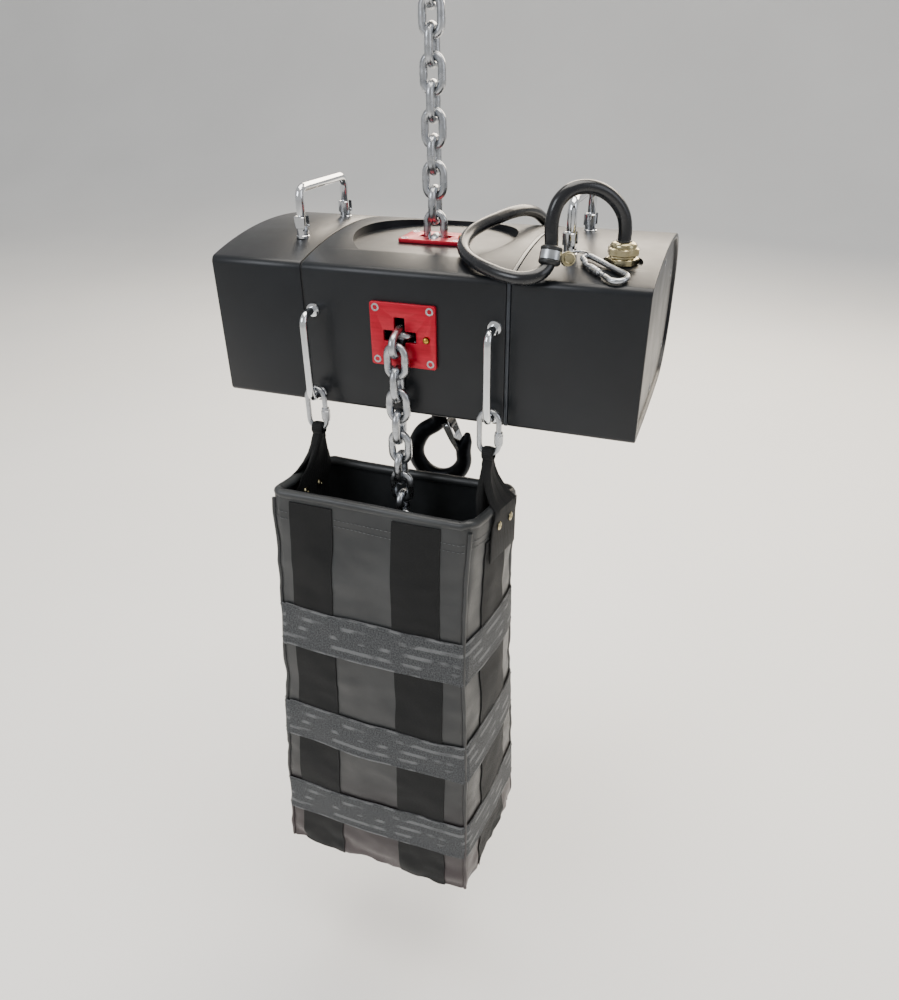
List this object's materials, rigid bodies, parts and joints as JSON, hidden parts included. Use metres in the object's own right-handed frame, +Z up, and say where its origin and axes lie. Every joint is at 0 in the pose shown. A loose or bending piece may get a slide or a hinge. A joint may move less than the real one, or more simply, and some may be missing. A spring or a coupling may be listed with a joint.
{
  "type": "electric chain hoist",
  "caption": "Electric chain hoist with a black vaulted housing, red chain plates, swivel hooks, carrying handles and a hanging fabric chain bag.",
  "frame": {"origin": "the seat of the top hook, the inside of its bowl, on the load line", "axes": "+Z up along the load line, +X along the housing to the cable gland's end, -Y out of the front face where the slack chain leaves"},
  "size_m": [0.4, 0.3415, 0.9989],
  "materials": {
    "black_coat": "satin black powder coat on aluminium",
    "cast_black": "black paint on cast metal",
    "red_plate": "red anodised",
    "brass": "turned brass",
    "plastic": "moulded black plastic",
    "chrome": "polished chrome plate",
    "hook_black": "black coated forging",
    "steel": "machined steel",
    "zinc": "bright zinc plate",
    "windings": "laminated steel and copper windings",
    "bare_aluminium": "bare machined aluminium",
    "nickel": "nickel plated brass",
    "cable_sheath": "semi-gloss black sheath",
    "clamp_rubber": "steel band with black rubber",
    "bag_plastic": "black coated fabric",
    "heaped_chain": "loosely heaped zinc chain",
    "webbing": "woven black webbing"
  },
  "bodies": {
    "housing": {"left_cover": "black_coat", "left_end_plate": "black_coat", "wheel_chain": "zinc", "centre_housing": "black_coat", "right_gasket": "cast_black", "right_cover": "black_coat", "right_end_plate": "black_coat", "top_chain_plate": "red_plate", "front_chain_plate": "red_plate", "top_limit_switch": "plastic", "front_limit_switch": "plastic", "left_handle_front_foot": "chrome", "left_handle_rear_foot": "chrome", "right_handle_front_foot": "chrome", "right_handle_rear_foot": "chrome", "left_bag_handle": "chrome", "right_bag_handle": "chrome", "top_hook_block": "hook_black", "hook_collar": "cast_black", "load_chain": "zinc", "motor_stator": "windings", "brake_magnet": "cast_black", "gearbox_inner_plate": "bare_aluminium", "gearbox_outer_plate": "bare_aluminium", "wheel_bearing_plate": "bare_aluminium", "chain_guide": "plastic", "contactor_unit": "plastic", "cable_gland": "nickel", "power_cable": "cable_sheath", "cable_connector": "plastic", "cable_clamp": "clamp_rubber", "clamp_bolt": "nickel", "snap_hook": "zinc"},
    "top_hook": {"top_hook": "hook_black"},
    "top_hook_latch": {"top_hook_latch": "chrome"},
    "load_hook": {"load_hook": "hook_black", "hook_nut": "steel"},
    "load_hook_latch": {"load_hook_latch": "chrome"},
    "left_handle": {"left_handle": "chrome"},
    "right_handle": {"right_handle": "chrome"},
    "bag": {"bag_shell": "bag_plastic", "bag_rim": "bag_plastic", "chain_pile": "heaped_chain", "left_strap": "webbing", "right_strap": "webbing", "left_quick_link": "zinc", "right_quick_link": "zinc"},
    "left_link_sleeve": {"left_link_sleeve": "zinc"},
    "right_link_sleeve": {"right_link_sleeve": "zinc"},
    "slack_chain": {"slack_chain": "zinc"},
    "load_wheel": {"chain_wheel": "steel", "load_gear": "steel", "load_shaft": "steel"},
    "layshaft": {"layshaft": "steel"},
    "rotor": {"rotor_shaft": "steel", "motor_rotor": "bare_aluminium"},
    "brake_armature": {"brake_armature": "steel"},
    "top_limit_plunger": {"top_limit_plunger": "brass"},
    "front_limit_plunger": {"front_limit_plunger": "brass"},
    "snap_hook_gate": {"snap_hook_gate": "zinc"}
  },
  "joints": [
    {"name": "top_hook_swivel", "type": "hinge", "parent": "housing", "child": "top_hook", "pos_m": [0, 0, -0.05], "axis": [0, 0, 1], "continuous": true},
    {"name": "top_hook_latch_swing", "type": "hinge", "parent": "top_hook", "child": "top_hook_latch", "pos_m": [0.01, 0, -0.04342], "axis": [0, 1, 0], "range_deg": [-30, 0], "stiffness_Nm_per_rad": 0.05, "springref_deg": 20.05},
    {"name": "load_hook_swivel", "type": "hinge", "parent": "housing", "child": "load_hook", "pos_m": [0, 0, -0.45], "axis": [0, 0, 1], "continuous": true},
    {"name": "load_hook_latch_swing", "type": "hinge", "parent": "load_hook", "child": "load_hook_latch", "pos_m": [0.0115, 0, -0.48325], "axis": [0, 1, 0], "range_deg": [0, 30], "stiffness_Nm_per_rad": 0.05, "springref_deg": -20.05},
    {"name": "left_handle_fold", "type": "hinge", "parent": "housing", "child": "left_handle", "pos_m": [-0.119, 0, -0.283], "axis": [0, 1, 0], "range_deg": [0, 85]},
    {"name": "right_handle_fold", "type": "hinge", "parent": "housing", "child": "right_handle", "pos_m": [0.135, 0, -0.283], "axis": [0, 1, 0], "range_deg": [0, 45]},
    {"name": "bag_swing", "type": "hinge", "parent": "housing", "child": "bag", "pos_m": [0, -0.1015, -0.417], "axis": [-1, 0, 0], "range_deg": [0, 25]},
    {"name": "slack_chain_swing", "type": "hinge", "parent": "housing", "child": "slack_chain", "pos_m": [0, -0.1035, -0.3705], "axis": [-1, 0, 0], "range_deg": [0, 23]},
    {"name": "left_sleeve_slide", "type": "slide", "parent": "bag", "child": "left_link_sleeve", "axis": [0, 0, 1], "range_m": [0, 0.008]},
    {"name": "right_sleeve_slide", "type": "slide", "parent": "bag", "child": "right_link_sleeve", "axis": [0, 0, 1], "range_m": [0, 0.008]},
    {"name": "load_wheel_spin", "type": "hinge", "parent": "housing", "child": "load_wheel", "pos_m": [0, -0.02744, -0.381], "axis": [1, 0, 0], "continuous": true, "deforming": ["wheel_chain"]},
    {"name": "layshaft_spin", "type": "hinge", "parent": "housing", "child": "layshaft", "pos_m": [-0.12, 0.01947, -0.35855], "axis": [1, 0, 0], "continuous": true},
    {"name": "rotor_spin", "type": "hinge", "parent": "housing", "child": "rotor", "pos_m": [0, 0.064, -0.365], "axis": [1, 0, 0], "continuous": true},
    {"name": "brake_armature_slide", "type": "slide", "parent": "housing", "child": "brake_armature", "axis": [1, 0, 0], "range_m": [0, 0.0005], "stiffness_N_per_m": 2000, "springref_m": -0.002},
    {"name": "top_limit_push", "type": "slide", "parent": "housing", "child": "top_limit_plunger", "axis": [0, 0, -1], "range_m": [0, 0.003], "stiffness_N_per_m": 200, "springref_m": -0.003},
    {"name": "front_limit_push", "type": "slide", "parent": "housing", "child": "front_limit_plunger", "axis": [0, 1, 0], "range_m": [0, 0.003], "stiffness_N_per_m": 200, "springref_m": -0.003},
    {"name": "snap_gate_swing", "type": "hinge", "parent": "housing", "child": "snap_hook_gate", "pos_m": [0.15384, -0.06191, -0.29501], "axis": [0, -0.2122, 0.9772], "range_deg": [0, 20], "stiffness_Nm_per_rad": 0.02, "springref_deg": -20.05}
  ],
  "couplings": [
    {"joint": "slack_chain_swing", "follows": "bag_swing", "ratio": 0.8925},
    {"joint": "layshaft_spin", "follows": "load_wheel_spin", "ratio": -3.3333},
    {"joint": "rotor_spin", "follows": "load_wheel_spin", "ratio": 13.333}
  ]
}
